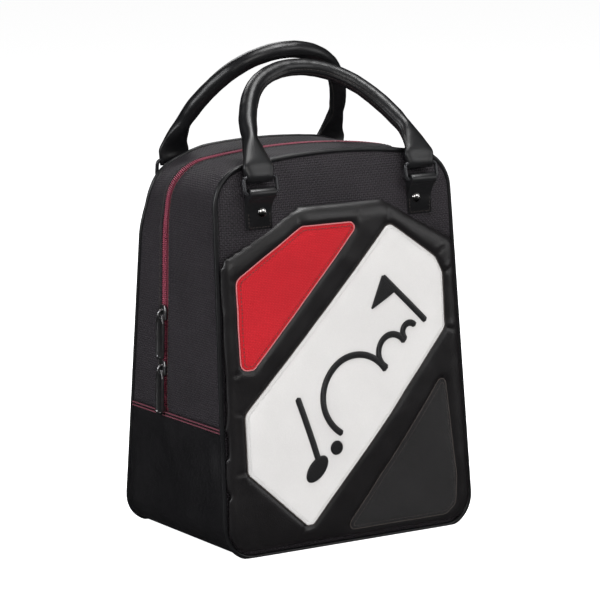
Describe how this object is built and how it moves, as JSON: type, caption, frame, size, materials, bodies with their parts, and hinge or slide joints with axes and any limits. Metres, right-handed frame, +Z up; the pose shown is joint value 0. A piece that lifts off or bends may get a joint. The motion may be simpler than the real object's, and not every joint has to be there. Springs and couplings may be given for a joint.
{
  "type": "golf shoe bag",
  "caption": "Upright zipped golf shoe bag with a padded front panel, a smooth base band, an over-the-top zip and two rolled handles on metal rings.",
  "frame": {"origin": "centre of the base face that the bag stands on", "axes": "+X across the front towards its right, +Y from the front to the back, +Z up"},
  "size_m": [0.243, 0.1772, 0.4017],
  "materials": {
    "band_leather": "smooth semi-gloss coated leather",
    "woven_fabric": "coarse ballistic weave",
    "pad_leather": "smooth satin coated leather over foam",
    "piping": "satin coated leather over cord",
    "white_leather": "smooth satin coated leather",
    "red_fabric": "fine knitted mesh",
    "charcoal_fabric": "fine matt weave",
    "thread": "satin stitch embroidery",
    "welt": "narrow maroon cord",
    "zip_tape": "maroon zip tape",
    "zip_coil": "maroon nylon coil",
    "zip_metal": "black nickel plating",
    "ring_metal": "gloss black plating",
    "rivet_metal": "polished nickel",
    "handle_leather": "rolled semi-gloss coated leather",
    "core_foam": "foam rod",
    "board": "polyethylene board"
  },
  "bodies": {
    "main_shell": {"lower_gusset": "band_leather", "base_board": "board", "seam_welt_left": "welt", "seam_welt_right": "welt", "front_panel_lower": "band_leather", "front_pad_lower": "pad_leather", "front_piping_lower": "piping", "white_patch_lower": "white_leather", "charcoal_patch_lower": "charcoal_fabric", "embroidery_lower": "thread", "rear_panel": "woven_fabric", "rear_piping": "piping", "rear_board": "board", "rear_gusset": "woven_fabric", "rear_zip_tape": "zip_tape", "rear_zip_coil": "zip_coil", "zip_end_stops": "zip_metal", "rear_tab_left": "handle_leather", "rear_tab_right": "handle_leather", "rear_rivets": "rivet_metal"},
    "front_shell": {"front_panel_upper": "woven_fabric", "front_pad_upper": "pad_leather", "front_piping_upper": "piping", "front_board": "board", "red_patch_upper": "red_fabric", "white_patch_upper": "white_leather", "charcoal_patch_upper": "charcoal_fabric", "embroidery_upper": "thread", "front_gusset": "woven_fabric", "front_zip_tape": "zip_tape", "front_zip_coil": "zip_coil", "front_tab_left": "handle_leather", "front_tab_right": "handle_leather", "front_rivets": "rivet_metal"},
    "front_rings": {"front_ring_left": "ring_metal", "front_ring_right": "ring_metal"},
    "front_handle": {"front_handle_sleeve": "handle_leather", "front_handle_core": "core_foam", "front_handle_end_left": "handle_leather", "front_handle_end_right": "handle_leather"},
    "rear_rings": {"rear_ring_left": "ring_metal", "rear_ring_right": "ring_metal"},
    "rear_handle": {"rear_handle_sleeve": "handle_leather", "rear_handle_core": "core_foam", "rear_handle_end_left": "handle_leather", "rear_handle_end_right": "handle_leather"},
    "slider_upper": {"zip_slider_upper": "zip_metal"},
    "slider_lower": {"zip_slider_lower": "zip_metal"},
    "pull_upper": {"zip_pull_upper": "zip_metal"},
    "pull_lower": {"zip_pull_lower": "zip_metal"}
  },
  "joints": [
    {"name": "front_fold", "type": "hinge", "parent": "main_shell", "child": "front_shell", "pos_m": [0, -0.0872, 0.105], "axis": [1, 0, 0], "range_deg": [0, 25]},
    {"name": "front_ring_swing", "type": "hinge", "parent": "front_shell", "child": "front_rings", "pos_m": [0, -0.06975, 0.291], "axis": [1, 0, 0], "range_deg": [0, 80]},
    {"name": "front_handle_swing", "type": "hinge", "parent": "front_rings", "child": "front_handle", "pos_m": [0, -0.067, 0.30371], "axis": [1, 0, 0], "range_deg": [0, 100]},
    {"name": "rear_ring_swing", "type": "hinge", "parent": "main_shell", "child": "rear_rings", "pos_m": [0, 0.06975, 0.291], "axis": [-1, 0, 0], "range_deg": [0, 80]},
    {"name": "rear_handle_swing", "type": "hinge", "parent": "rear_rings", "child": "rear_handle", "pos_m": [0, 0.068, 0.30388], "axis": [-1, 0, 0], "range_deg": [0, 100]},
    {"name": "slider_upper_run", "type": "slide", "parent": "main_shell", "child": "slider_upper", "axis": [0.0261, 0, 0.9997], "range_m": [0, 0.062]},
    {"name": "slider_lower_run", "type": "slide", "parent": "main_shell", "child": "slider_lower", "axis": [0.0261, 0, 0.9997], "range_m": [-0.023, 0]},
    {"name": "pull_upper_swing", "type": "hinge", "parent": "slider_upper", "child": "pull_upper", "pos_m": [-0.11909, 0.02, 0.1841], "axis": [0, 1, 0], "range_deg": [0, 150]},
    {"name": "pull_lower_swing", "type": "hinge", "parent": "slider_lower", "child": "pull_lower", "pos_m": [-0.12028, 0.02, 0.1386], "axis": [0, 1, 0], "range_deg": [0, 150]}
  ]
}
